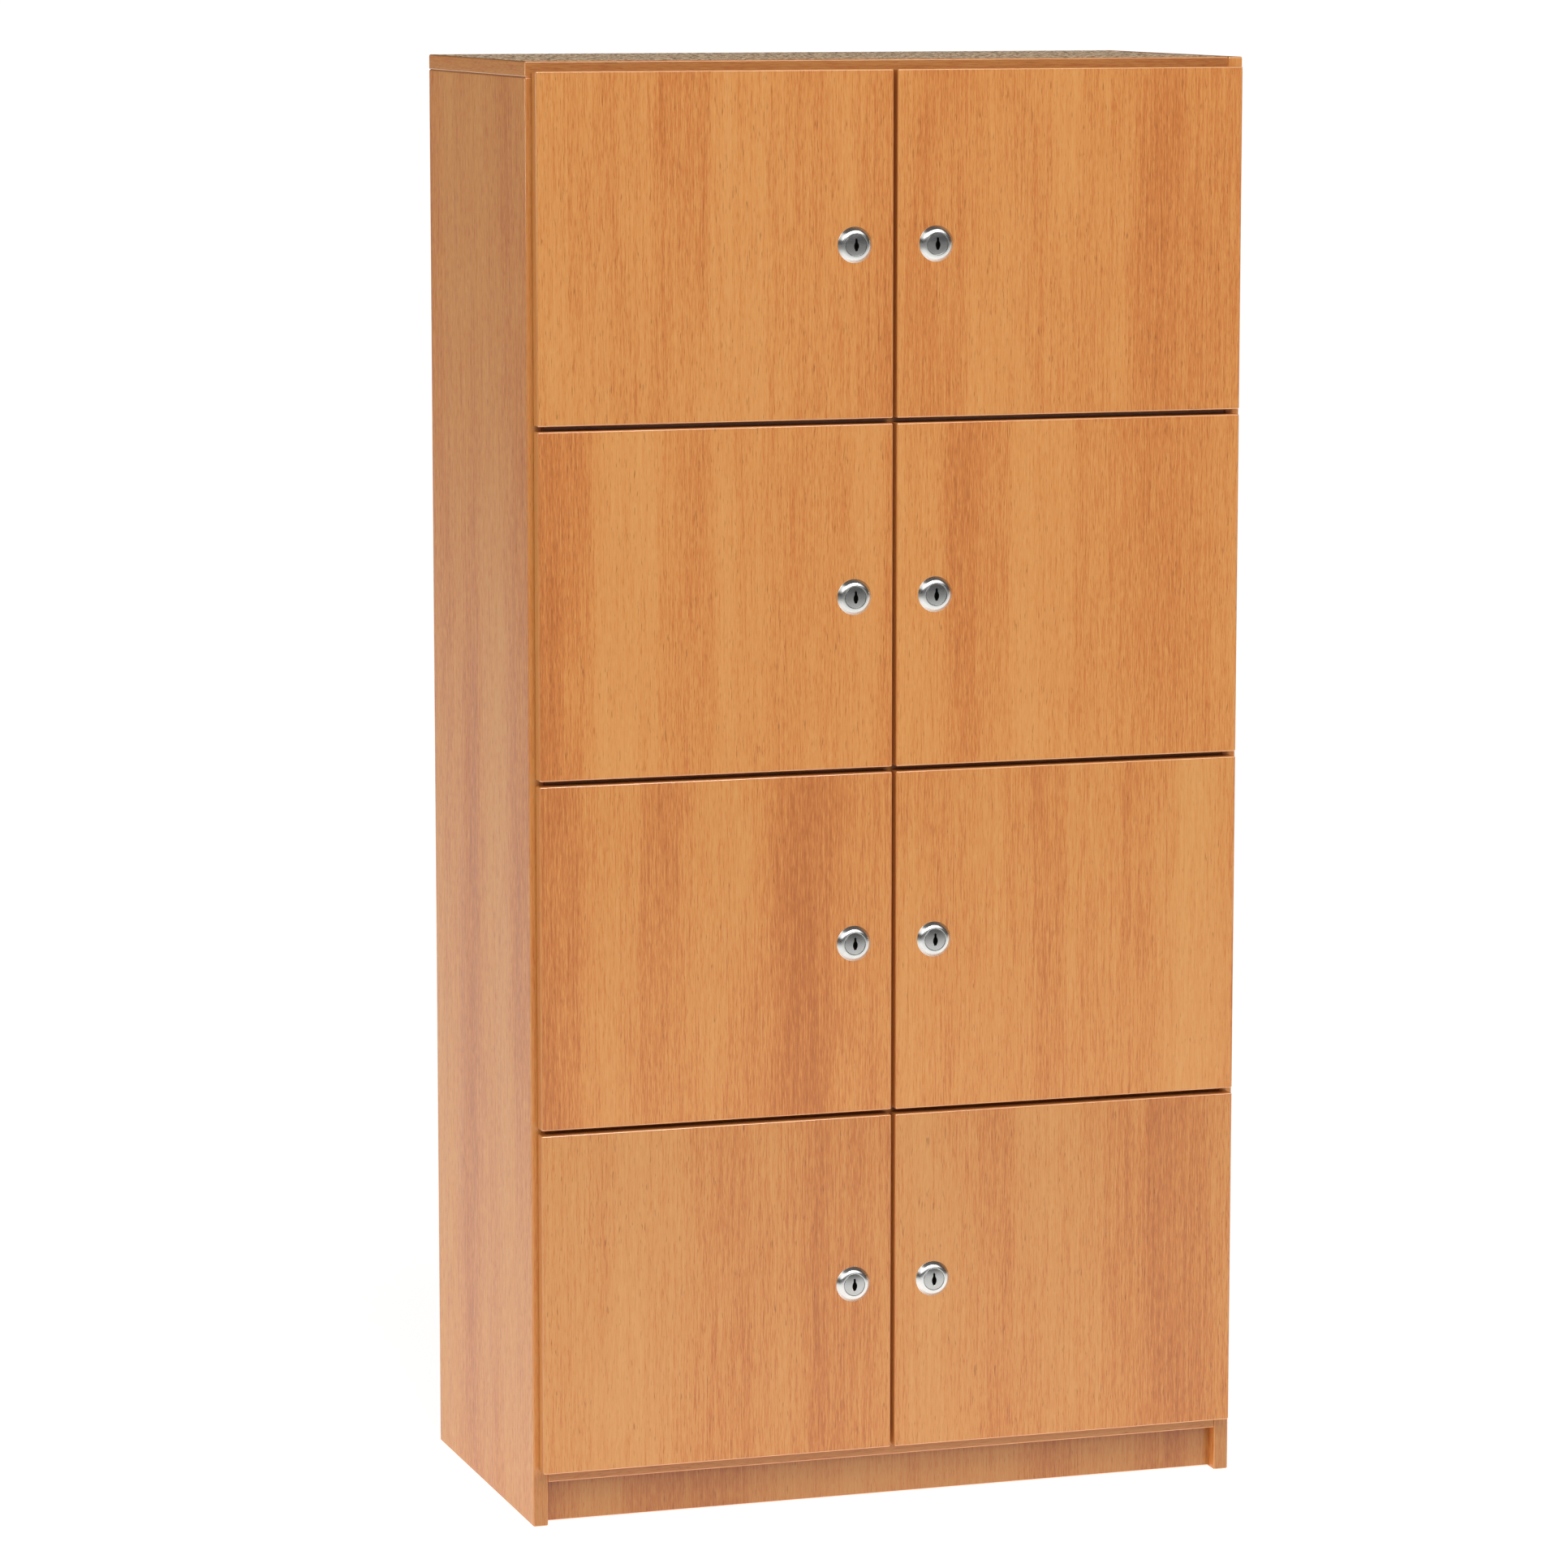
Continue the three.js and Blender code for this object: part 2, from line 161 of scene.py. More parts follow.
def combined(mesh, tools, operation="DIFFERENCE"):
    """The mesh with each tool mesh cut out of it, or joined to it."""
    base = temporary(mesh)
    extra = [temporary(tool) for tool in tools]
    for tool in extra:
        step = base.modifiers.new("step", "BOOLEAN")
        step.operation = operation
        step.solver = "EXACT"
        step.object = tool
    graph = bpy.context.evaluated_depsgraph_get()
    result = bpy.data.meshes.new_from_object(base.evaluated_get(graph))
    for obj in [base] + extra:
        bpy.data.objects.remove(obj)
    return result


def smoothed(mesh, angle=40):
    """Smooth shading with flat faces kept flat. Each face keeps its material slot."""
    slots = [face.material_index for face in mesh.polygons]
    mesh.polygons.foreach_set("use_smooth", [True] * len(mesh.polygons))
    mesh.set_sharp_from_angle(angle=math.radians(angle))
    obj = temporary(mesh)
    weigh = obj.modifiers.new("weigh", "WEIGHTED_NORMAL")
    weigh.mode = "FACE_AREA"
    weigh.weight = 100
    weigh.keep_sharp = True
    graph = bpy.context.evaluated_depsgraph_get()
    result = bpy.data.meshes.new_from_object(obj.evaluated_get(graph))
    bpy.data.objects.remove(obj)
    result.polygons.foreach_set("material_index", slots)
    return result


def painted(mesh, index):
    """The mesh with all its faces in one material slot."""
    mesh.polygons.foreach_set("material_index", [index] * len(mesh.polygons))
    return mesh


def mirrored(mesh):
    """A copy of the mesh mirrored in the plane x = 0."""
    copy = mesh.copy()
    copy.transform(Matrix.Diagonal((-1, 1, 1, 1)))
    copy.flip_normals()
    return copy


def lowered(mesh, drop):
    """A copy of the mesh moved along Z."""
    copy = mesh.copy()
    copy.transform(Matrix.Translation((0, 0, drop)))
    return copy


def joined(*meshes):
    """Meshes put side by side in one mesh, without cutting. Each keeps its place."""
    bm = bmesh.new()
    for mesh in meshes:
        bm.from_mesh(mesh)
    result = bpy.data.meshes.new("joined")
    bm.to_mesh(result)
    bm.free()
    return result


def piece(name, mesh, body, slot, materials, *replaced):
    """Puts a finished mesh in the scene, riding on a body and standing for the CAD nodes it replaces."""
    mesh.name = name
    for material in materials:
        mesh.materials.append(material)
    obj = bpy.data.objects.new(name, mesh)
    bpy.context.scene.collection.objects.link(obj)
    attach(obj, body)
    if replaced:
        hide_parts(*replaced)


# ---- mesh shapes ----
def rounded_box(lo, hi, radius, chosen=None, steps=ARRIS_STEPS):
    """A box whose edges are rounded, or only the edges that chosen(middle) accepts."""
    bm = bmesh.new()
    bmesh.ops.create_cube(bm, size=1)
    size = Vector(hi) - Vector(lo)
    middle = (Vector(hi) + Vector(lo)) / 2
    fit = Matrix.Translation(middle) @ Matrix.Diagonal((*size, 1))
    bmesh.ops.transform(bm, matrix=fit, verts=bm.verts)
    edges = [e for e in bm.edges if chosen is None or chosen((e.verts[0].co + e.verts[1].co) / 2)]
    bmesh.ops.bevel(bm, geom=edges, offset=radius, segments=steps, profile=0.5, affect="EDGES")
    return mesh_from(bm, "box")


def plain_box(lo, hi):
    """A box with sharp edges."""
    return rounded_box(lo, hi, 0, chosen=lambda middle: False)


def turned(profile, x=0.0, z=0.0, steps=96):
    """A profile of (radius, y) points turned about the Y axis through (x, z)."""
    bm = bmesh.new()
    rings = []
    angles = [2 * math.pi * i / steps for i in range(steps)]
    for radius, y in profile:
        if radius < 1e-7:
            rings.append([bm.verts.new((x, y, z))] * steps)
            continue
        rings.append([bm.verts.new((x + radius * math.cos(a), y, z + radius * math.sin(a))) for a in angles])
    for inner, outer in zip(rings, rings[1:]):
        for i in range(steps):
            j = (i + 1) % steps
            corners = list(dict.fromkeys([inner[i], inner[j], outer[j], outer[i]]))
            if len(corners) > 2:
                bm.faces.new(corners)
    return mesh_from(bm, "turned")


def cylinder(radius, front, back, x, z, steps=48):
    """A round bar along Y, used to cut a bore."""
    return turned([(0, front), (radius, front), (radius, back), (0, back)], x, z, steps)


def extruded(outline, sections):
    """An outline of (x, z) points lofted along Y through (y, scale) sections."""
    bm = bmesh.new()
    rings = [[bm.verts.new((px * s, y, pz * s)) for px, pz in outline] for y, s in sections]
    for front, back in zip(rings, rings[1:]):
        for i in range(len(outline)):
            j = (i + 1) % len(outline)
            bm.faces.new([front[i], front[j], back[j], back[i]])
    bm.faces.new(rings[0])
    bm.faces.new(rings[-1])
    return mesh_from(bm, "extruded")


def arc(centre, radii, start, end, steps):
    """Points (radius, y) on part of an ellipse, from the start angle to the end angle in degrees."""
    angles = [math.radians(start + (end - start) * i / steps) for i in range(steps + 1)]
    return [(centre[0] + radii[0] * math.cos(a), centre[1] + radii[1] * math.sin(a)) for a in angles]


# ---- material nodes ----
class Nodes:
    """A short way to write a node tree."""

    def __init__(self, tree):
        self.tree = tree

    def add(self, kind, inputs=None, **settings):
        node = self.tree.nodes.new(kind)
        for key, value in settings.items():
            setattr(node, key, value)
        for key, value in (inputs or {}).items():
            self.feed(node, key, value)
        return node

    def feed(self, node, key, value):
        """Links a socket to the input, or sets the input's own value."""
        if isinstance(value, bpy.types.NodeSocket):
            self.tree.links.new(value, node.inputs[key])
        else:
            node.inputs[key].default_value = value

    def place(self, scale, offset=(0, 0, 0)):
        """The object's own coordinates, stretched and shifted."""
        where = self.add("ShaderNodeTexCoord").outputs["Object"]
        inputs = {"Vector": where, "Scale": scale, "Location": offset}
        return self.add("ShaderNodeMapping", inputs).outputs["Vector"]

    def split(self, vector):
        """A vector's X, Y and Z, by the names of AXES."""
        outputs = self.add("ShaderNodeSeparateXYZ", {"Vector": vector}).outputs
        return {axis: outputs[axis.upper()] for axis in AXES}

    def noise(self, vector, detail=2.0, roughness=0.5):
        inputs = {"Vector": vector, "Scale": 1.0, "Detail": detail, "Roughness": roughness}
        return self.add("ShaderNodeTexNoise", inputs).outputs["Fac"]

    def math(self, operation, a, b=0.0, c=0.0):
        node = self.add("ShaderNodeMath", operation=operation)
        for index, value in enumerate((a, b, c)):
            self.feed(node, index, value)
        return node.outputs[0]

    def centred(self, value):
        """A noise value moved from around a half to around zero."""
        return self.math("SUBTRACT", value, 0.5)

    def add_part(self, total, value, strength):
        """The total with a centred value added at the given strength."""
        return self.math("MULTIPLY_ADD", self.centred(value), strength, total)

    def remap(self, value, low, high, to_low=0.0, to_high=1.0):
        inputs = {"Value": value, "From Min": low, "From Max": high, "To Min": to_low, "To Max": to_high}
        return self.add("ShaderNodeMapRange", inputs).outputs["Result"]

    def mix(self, factor, a, b, blend="MIX"):
        node = self.add("ShaderNodeMix", data_type="RGBA", blend_type=blend)
        colour_a, colour_b = 6, 7
        self.feed(node, 0, factor)
        self.feed(node, colour_a, a)
        self.feed(node, colour_b, b)
        return node.outputs[2]

    def ramp(self, value, stops):
        node = self.add("ShaderNodeValToRGB", {"Fac": value})
        points = node.color_ramp.elements
        while len(points) < len(stops):
            points.new(0.5)
        for point, (position, colour) in zip(points, stops):
            point.position = position
            point.color = colour
        return node.outputs["Color"]

    def bump(self, height, distance, strength=1.0):
        inputs = {"Height": height, "Distance": distance, "Strength": strength}
        return self.add("ShaderNodeBump", inputs).outputs["Normal"]

    def finish(self, **inputs):
        """Feeds the surface shader. An underscore in a name stands for a space."""
        shader = self.tree.nodes["Principled BSDF"]
        for key, value in inputs.items():
            self.feed(shader, key.replace("_", " "), value)


def new_material(name):
    """A new material and the Nodes of its tree."""
    material = bpy.data.materials.new(name)
    material.use_nodes = True
    return material, Nodes(material.node_tree)


BEECH_STOPS = [(0.06, srgb(178, 103, 48)), (0.33, srgb(200, 123, 62)), (0.54, srgb(209, 140, 74)),
               (0.9, srgb(215, 153, 88))]
PORE = srgb(112, 62, 30)
SEED_STEPS = (7.31, 3.17, 5.77)


def beech_leaves(n, wood, run, bands):
    """The slow change of tone from one leaf of veneer to the next."""
    place = n.split(wood(1.0, 1.0, 0.0))
    first, second = [place[axis] for axis in AXES if axis != run]
    wave = n.noise(wood(2.0, 1.6, 1.7), 1.0)
    across = n.math("ADD", n.math("ADD", first, second), n.math("MULTIPLY", wave, 0.03))
    leaf = n.add("ShaderNodeTexVoronoi", {"W": across, "Scale": 13.0, "Randomness": 1.0, "Smoothness": 0.35},
                 voronoi_dimensions="1D", feature="SMOOTH_F1")
    own_tone = n.add("ShaderNodeSeparateColor", {"Color": leaf.outputs["Color"]}).outputs[0]
    drift = n.noise(wood(9.0, 0.8, 2.3), 2.0)
    return n.add_part(drift, own_tone, 0.26 * bands)


def beech(name, seed, run="z", bands=1.0, shade=1.0, streaks=1.0, fineness=1.0, gloss=1.0,
          coat_ior=1.5, painted_foot_shade=1.0):
    """Lacquered beech veneer. run is the axis of the grain; bands says how strongly its leaves differ."""
    material, n = new_material(name)

    def wood(fine, along, shift):
        """The place in the wood, scaled finely across the grain and coarsely along it."""
        scale = [along if axis == run else fine for axis in AXES]
        return n.place(scale, [seed * step + shift for step in SEED_STEPS])

    tone = beech_leaves(n, wood, run, bands)
    stripe = n.noise(wood(70.0, 2.0, 3.1), 3.0, 0.6)
    tone = n.add_part(tone, stripe, 0.3 * streaks)
    # Fine lines of one or two millimetres, which break up along the grain, are the strongest mark.
    line = n.noise(wood(430.0 * fineness, 10.0, 4.9), 4.0, 0.7)
    thread = n.noise(wood(1000.0 * fineness, 70.0, 6.1), 2.0, 0.6)
    fine = n.math("ADD", n.centred(line), n.centred(thread))
    tone = n.math("MULTIPLY_ADD", fine, 1.15 * streaks, tone)
    pore = n.noise(wood(700.0, 60.0, 8.3), 2.0)
    depth = n.remap(pore, 0.64, 0.73, 0.0, 0.5 * streaks)
    colour = n.mix(depth, n.ramp(tone, BEECH_STOPS), PORE)
    # shade multiplies the colour: a piece's own tone, and for some pieces painted light or painted shade.
    if shade != 1.0:
        colour = n.mix(1.0, colour, (shade, shade, shade, 1.0), "MULTIPLY")
    if painted_foot_shade != 1.0:
        # Painted shade: the last few centimetres above the floor are made darker, against the light from the
        # glowing floor.
        height = n.split(n.place((1, 1, 1)))["z"]
        colour = n.mix(1.0, colour, n.remap(height, 0.06, 0.08, painted_foot_shade, 1.0), "MULTIPLY")
    n.finish(Base_Color=colour, Roughness=n.remap(stripe, 0.3, 0.7, 0.4, 0.5),
             Normal=n.bump(n.math("SUBTRACT", line, depth), 0.05 * MM, 0.5), Specular_IOR_Level=0.1,
             Coat_Weight=gloss, Coat_Roughness=0.16, Coat_IOR=coat_ior)
    return material


def speckled_sheet():
    """A matt laminate with a fine stone speckle."""
    material, n = new_material("speckled_laminate")
    grain = n.noise(n.place((260, 130, 260)), 1.0, 0.5)
    patch = n.noise(n.place((110, 55, 110), (3, 5, 1)), 1.0, 0.5)
    stops = [(0.4, srgb(34, 22, 14)), (0.44, srgb(168, 110, 72)), (0.49, srgb(252, 194, 138)),
             (0.56, srgb(255, 236, 206))]
    n.finish(Base_Color=n.ramp(n.add_part(grain, patch, 0.7), stops),
             Roughness=n.remap(grain, 0.3, 0.7, 0.55, 0.75),
             Normal=n.bump(grain, 0.1 * MM, 0.4), Specular_IOR_Level=0.1)
    return material


def metal(name, colour, roughness, scratch=0.04, run=(900, 900, 900)):
    """A plated metal with fine polishing lines and uneven gloss."""
    material, n = new_material(name)
    lines = n.noise(n.place(run, (1.7, 0.4, 2.2)), 3.0, 0.6)
    cloud = n.noise(n.place((40, 40, 40)), 3.0)
    tone = n.mix(n.remap(cloud, 0.35, 0.65, 0.0, 0.18), colour, srgb(120, 118, 114))
    rough = n.math("MULTIPLY_ADD", n.centred(lines), scratch, roughness)
    n.finish(Base_Color=tone, Metallic=1.0, Roughness=n.math("MULTIPLY_ADD", cloud, 0.05, rough),
             Normal=n.bump(lines, 0.01 * MM, 0.25))
    return material


def painted_keyhole_shade():
    """Painted shade: a near-black surface for the inside of the keyhole, standing in for the shade in the
    hole.
    """
    material, n = new_material("keyhole_shade_painted")
    cloud = n.noise(n.place((300, 300, 300)), 3.0)
    n.finish(Base_Color=n.mix(cloud, srgb(12, 10, 9), srgb(34, 30, 28)),
             Roughness=n.remap(cloud, 0.3, 0.7, 0.6, 0.8),
             Normal=n.bump(cloud, 0.05 * MM, 0.3), Specular_IOR_Level=0.15)
    return material


def plastic(name, colour, other, roughness):
    """A moulded plastic with a fine grain, clouded between two close colours."""
    material, n = new_material(name)
    grain = n.noise(n.place((1500, 1500, 1500)), 2.0)
    cloud = n.noise(n.place((40, 40, 40)), 3.0)
    n.finish(Base_Color=n.mix(n.remap(cloud, 0.3, 0.7), colour, other),
             Roughness=n.remap(cloud, 0.3, 0.7, roughness - 0.05, roughness + 0.08),
             Normal=n.bump(grain, 0.04 * MM, 0.35))
    return material


CHROME = metal("satin_chrome", srgb(232, 233, 230), 0.2)
PLUG_CHROME = metal("lock_plug_chrome", srgb(190, 192, 190), 0.2)
ZINC = metal("zinc_plate", srgb(196, 198, 197), 0.32, 0.12, (400, 60, 400))
NICKEL = metal("nickel_screw", srgb(188, 186, 178), 0.26)
KEYHOLE_PAINTED_SHADE = painted_keyhole_shade()
CASE_GREY = plastic("lock_case_grey", srgb(58, 60, 63), srgb(70, 72, 74), 0.42)
BUMPER = plastic("bumper_grey", srgb(196, 194, 188), srgb(176, 174, 168), 0.5)
SPECKLED = speckled_sheet()
BACK_PRINT = beech("back_board_print", 31.0, bands=0.4, shade=0.92, streaks=0.5)
# Edge bands and polished arrises, by the axis that their grain runs along, with painted light and shade in
# their colours.
# Painted light and shade: beside their own darker tone, the x bands, which catch the most light, are
# darkened, and the y and z bands, in less light, are lightened.
EDGE = {
    "x": beech("edge_band_x_painted_shade", 40.0, "x", bands=0.35, shade=0.78, streaks=0.8),
    "y": beech("edge_band_y_painted_light", 41.0, "y", bands=0.35, shade=1.05, streaks=0.8, gloss=0.35),
    "z": beech("edge_band_z_painted_light_and_shade", 42.0, "z", bands=0.35, shade=1.04, streaks=0.8, painted_foot_shade=0.68),
}
ARRIS = {
    # Painted highlight: the x arrises' colour is lightened, besides their glossier coat.
    "x": beech("arris_x_painted_highlight", 50.0, "x", bands=0.35, shade=1.3, streaks=0.6, coat_ior=2.5),
    "y": beech("polished_arris_y", 51.0, "y", bands=0.35, streaks=0.6, coat_ior=2.1),
    "z": beech("polished_arris_z", 52.0, "z", bands=0.35, streaks=0.6, coat_ior=1.6),
}


# ---- wooden boards ----
FLAT = 0.98  # a face whose normal has one part above this is flat, and the others are arrises


def band_faces(mesh, thickness_axis, face_material):
    """Gives a board's two wide faces its veneer, its edges a band and its arrises a polished band. Some bands
    hold painted light and shade.
    """
    thick = AXES.index(thickness_axis)
    materials = [face_material] + [EDGE[axis] for axis in AXES] + [ARRIS[axis] for axis in AXES]
    for face in mesh.polygons:
        size = [abs(part) for part in face.normal]
        grain = min((part, i) for i, part in enumerate(size) if i != thick or max(size) < FLAT)[1]
        if size[thick] > FLAT:
            face.material_index = 0
        elif max(size) > FLAT:
            face.material_index = 1 + grain
        else:
            face.material_index = 1 + len(AXES) + grain
    return materials


def board(node, thickness_axis, veneer, radius=BOARD_ARRIS, chosen=None, cuts=()):
    """A banded board in the place of its CAD node, with its own arrises and notches."""
    mesh = rounded_box(*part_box(node), radius, chosen)
    if cuts:
        mesh = combined(mesh, cuts)
    materials = band_faces(mesh, thickness_axis, veneer)
    piece(node, smoothed(mesh), "cabinet", "beech", materials, node)


def at_front_of(node):
    """A test for the edges that lie on the node's front."""
    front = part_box(node)[0].y
    return lambda middle: abs(middle.y - front) < SAME


def outer_boards():
    """The side boards, the top board with its sheet, the bottom board, the plinths and the back."""
    for seed, node in ((2.0, "left_side"), (4.0, "right_side")):
        # Painted light: the side boards' colour is lightened, to stand in for more light on the side faces.
        veneer = beech(f"beech_{node}", seed, bands=0.35, shade=1.13, streaks=1.1, fineness=0.4, gloss=0.35)
        board(node, "x", veneer)
    sheet_lo, sheet_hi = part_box("top_sheet")
    recess = plain_box(sheet_lo, sheet_hi + Vector((0, 0, BEYOND)))
    board("top_panel", "z", EDGE["x"], cuts=[recess])
    sheet = rounded_box(sheet_lo, sheet_hi, SHEET_ARRIS, lambda middle: middle.z > sheet_hi.z - SAME, 2)
    piece("top_sheet", smoothed(sheet), "cabinet", "speckled_sheet", [SPECKLED], "top_sheet")
    board("bottom_panel", "z", beech("beech_bottom_panel", 6.0, "x", 0.4), chosen=at_front_of("left_side"))
    # Painted shade: the plinth's colour is darkened, to stand in for the shade under the bottom board.
    board("plinth_board", "y", beech("beech_plinth_painted_shade", 8.0, shade=0.66), PLINTH_ARRIS,
          at_front_of("plinth_board"))
    board("rear_plinth_board", "y", beech("beech_rear_plinth", 9.0), REAR_PLINTH_ARRIS)
    board("back_panel", "y", BACK_PRINT, BACK_ARRIS)


def inner_boards():
    """The shelves and the partition, which lap each other half way, and the bolts' mortises."""
    at_front = at_front_of("left_side")
    part_lo, part_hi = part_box("centre_partition")
    lap_y = (part_lo.y + part_hi.y) / 2
    below, above = -1, 3
    shelf_cuts = [plain_box((part_lo.x - PLAY, lap_y - PLAY, below),
                            (part_hi.x + PLAY, part_hi.y + BEYOND, above))]
    part_cuts = []
    for row in ROWS[:-1]:
        shelf_lo, shelf_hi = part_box(f"shelf_{row}")
        veneer = beech(f"beech_shelf_{row}", 10.0 + row, "x", 0.4, streaks=0.7)
        board(f"shelf_{row}", "z", veneer, chosen=at_front, cuts=shelf_cuts)
        part_cuts.append(plain_box((part_lo.x - BEYOND, part_lo.y - BEYOND, shelf_lo.z - PLAY),
                                   (part_hi.x + BEYOND, lap_y, shelf_hi.z + PLAY)))
    for row in ROWS:
        bolt_lo, bolt_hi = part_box(f"lock_bolt_l{row}")
        part_cuts.append(plain_box((part_lo.x - BEYOND, bolt_lo.y - MORTISE_PLAY, bolt_lo.z - MORTISE_PLAY),
                                   (part_hi.x + BEYOND, bolt_hi.y + MORTISE_PLAY, bolt_hi.z + MORTISE_PLAY)))
    board("centre_partition", "x", beech("beech_partition", 14.0, bands=0.6), chosen=at_front, cuts=part_cuts)


# ---- fittings, built once for the right column's first row, then mirrored and lowered ----
def screw(radius, height, point, axis):
    """A domed screw head with a cross recess. axis is where the head faces."""
    profile = [(radius * out, height * back) for out, back in SCREW_HEAD]
    head = turned(profile + [(radius, SCREW_SINK), (0, SCREW_SINK)], steps=28)
    reach = radius * 0.62
    half_width = radius * 0.11
    top = -height * 1.2
    floor = -height * 0.3
    recess = [plain_box((-reach, top, -half_width), (reach, floor, half_width)),
              plain_box((-half_width, top, -reach), (half_width, floor, reach))]
    head = combined(head, recess)
    turn = Vector((0, -1, 0)).rotation_difference(Vector(axis)).to_matrix().to_4x4()
    head.transform(Matrix.Translation(point) @ turn)
    return smoothed(head)


def hinge_heights():
    """The heights of the upper and lower hinge."""
    lo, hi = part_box("door_r1")
    return (hi.z - HINGE_INSET, lo.z + HINGE_INSET)


def door_mesh():
    """A door with its hinge cup bores, their open mouths and its lock bore."""
    lo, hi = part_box("door_r1")
    floor = hi.y - CUP_DEPTH
    above = hi.y + BEYOND
    cup_x = hi.x - CUP_FROM_EDGE
    cuts = []
    for z in hinge_heights():
        cuts.append(cylinder(CUP_RADIUS, floor, above, cup_x, z))
        cuts.append(plain_box((cup_x, floor, z - POCKET_HALF_HEIGHT),
                              (hi.x - MOUTH_FROM_EDGE, above, z + POCKET_HALF_HEIGHT)))
    cuts.append(cylinder(LOCK_BORE, lo.y - BEYOND, above, lo.x + LOCK_BACKSET, (lo.z + hi.z) / 2))
    return combined(rounded_box(lo, hi, DOOR_ARRIS), cuts)


def cup_mesh():
    """The pressed cups and their screwed wings, in the door. The arm comes out through the open side."""
    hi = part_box("door_r1")[1]
    rear = hi.y
    x = hi.x - CUP_FROM_EDGE
    below = rear - 13 * MM
    above = rear + 3 * MM
    mouth_half = POCKET_HALF_HEIGHT - CUP_WALL
    parts = []
    for z in hinge_heights():
        outside = turned(placed(CUP_OUTSIDE, rear), x, z, 64)
        wings = rounded_box((x - 6 * MM, rear, z - WING_HALF_HEIGHT),
                            (x + 5 * MM, rear + WING_THICK, z + WING_HALF_HEIGHT), 0.35 * MM, steps=2)
        body = combined(outside, [wings], "UNION")
        bowl = turned(placed(CUP_BOWL, rear), x, z, 64)
        mouth = plain_box((x, below, z - mouth_half), (hi.x + MM, above, z + mouth_half))
        door_edge = plain_box((hi.x - 5 * MM, below, z - 30 * MM), (hi.x + MM, above, z + 30 * MM))
        parts.append(painted(smoothed(combined(body, [bowl, mouth, door_edge])), 0))
        for side in (-1, 1):
            point = (x, rear + WING_THICK, z + side * WING_SCREW)
            parts.append(painted(screw(3.6 * MM, 1.5 * MM, point, (0, 1, 0)), 1))
    return joined(*parts)


def arm_body(z, arm_face, front, board_face):
    """The hinge arm and plate: from the knuckle in the cup, round the side board and along it."""
    door_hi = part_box("door_r1")[1]
    arm_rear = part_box("hinge_arm_r1_upper")[1].y
    pivot_x = door_hi.x - PIVOT_FROM_EDGE
    pivot_y = door_hi.y - PIVOT_DEPTH
    bottom = z - ARM_HALF_HEIGHT
    top = z + ARM_HALF_HEIGHT
    soft = 0.5 * MM
    knuckle = turned(placed(KNUCKLE, 0), steps=40)
    knuckle.transform(Matrix.Translation((pivot_x, pivot_y, z)) @ Matrix.Rotation(math.pi / 2, 4, "X"))
    reach = rounded_box((arm_face, pivot_y - ARM_HALF_THICK, bottom),
                        (pivot_x, pivot_y + ARM_HALF_THICK, top), soft, steps=2)
    neck = rounded_box((arm_face, pivot_y - ARM_HALF_THICK, bottom),
                       (arm_face + 2 * ARM_HALF_THICK, front + 8 * MM, top), soft, steps=2)
    arm = rounded_box((arm_face, front + 4 * MM, bottom), (board_face, arm_rear, top), 1.2 * MM)
    plate = rounded_box((board_face - PLATE_THICK, front + 10 * MM, z - PLATE_HALF_HEIGHT),
                        (board_face, front + 46 * MM, z + PLATE_HALF_HEIGHT), 0.8 * MM)
    return combined(knuckle, [reach, neck, arm, plate], "UNION")


def arm_mesh(z):
    """One hinge arm on its plate, with the adjusting groove and the screws."""
    side_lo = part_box("right_side")[0]
    front = side_lo.y
    board_face = side_lo.x
    arm_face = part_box("hinge_arm_r1_upper")[0].x
    groove_floor = arm_face + 1.6 * MM
    slot_y = front + 35 * MM
    groove = rounded_box((arm_face - MM, slot_y - 9 * MM, z - 2.6 * MM),
                         (groove_floor, slot_y + 9 * MM, z + 2.6 * MM), 1.2 * MM,
                         lambda middle: abs(middle.z - z) > 2 * MM)
    body = combined(arm_body(z, arm_face, front, board_face), [groove])
    inwards = (-1, 0, 0)
    screws = [screw(3.3 * MM, 1.4 * MM, (arm_face, front + 16 * MM, z), inwards),
              screw(2.4 * MM, 1.2 * MM, (groove_floor, slot_y, z), inwards)]
    for side in (-1, 1):
        point = (board_face - PLATE_THICK, front + 28 * MM, z + side * 15.5 * MM)
        screws.append(screw(3.6 * MM, 1.7 * MM, point, inwards))
    return joined(painted(smoothed(body), 0), *[painted(each, 1) for each in screws])


def lock_place():
    """The first right-hand lock's axis and foremost y, and the y of the door's face and rear."""
    lo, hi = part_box("door_r1")
    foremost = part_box("lock_plug_r1")[0].y
    x = lo.x + LOCK_BACKSET
    return SimpleNamespace(x=x, z=(lo.z + hi.z) / 2, foremost=foremost, face=lo.y, rear=hi.y)


def rosette_mesh():
    """The domed ring on the door's face and the tube behind it."""
    lock = lock_place()
    tube_end = lock.rear + 2 * MM
    seat = lock.face - 1.5 * MM
    profile = [(TUBE_BORE, tube_end), (TUBE_BORE, seat), (13.6 * MM, seat)]
    profile += placed(ROSETTE_DOME, lock.foremost)
    profile += [(ROSETTE_RADIUS, lock.face), (TUBE_RADIUS, lock.face), (TUBE_RADIUS, tube_end), profile[0]]
    return smoothed(turned(profile, lock.x, lock.z, 128), 30)


def keyhole_mesh(front):
    """The shape cut out of a plug at the origin: a chamfered keyhole."""
    right = [(px * MM, pz * MM) for px, pz in KEYHOLE]
    left = [(-px, pz) for px, pz in reversed(right[1:-1])]
    wide = 1.06
    sections = [(front - 2 * MM, wide), (front + 0.1 * MM, wide), (front + 0.4 * MM, 1.0),
                (front + KEYHOLE_DEPTH, 1.0)]
    return extruded(right + left, sections)


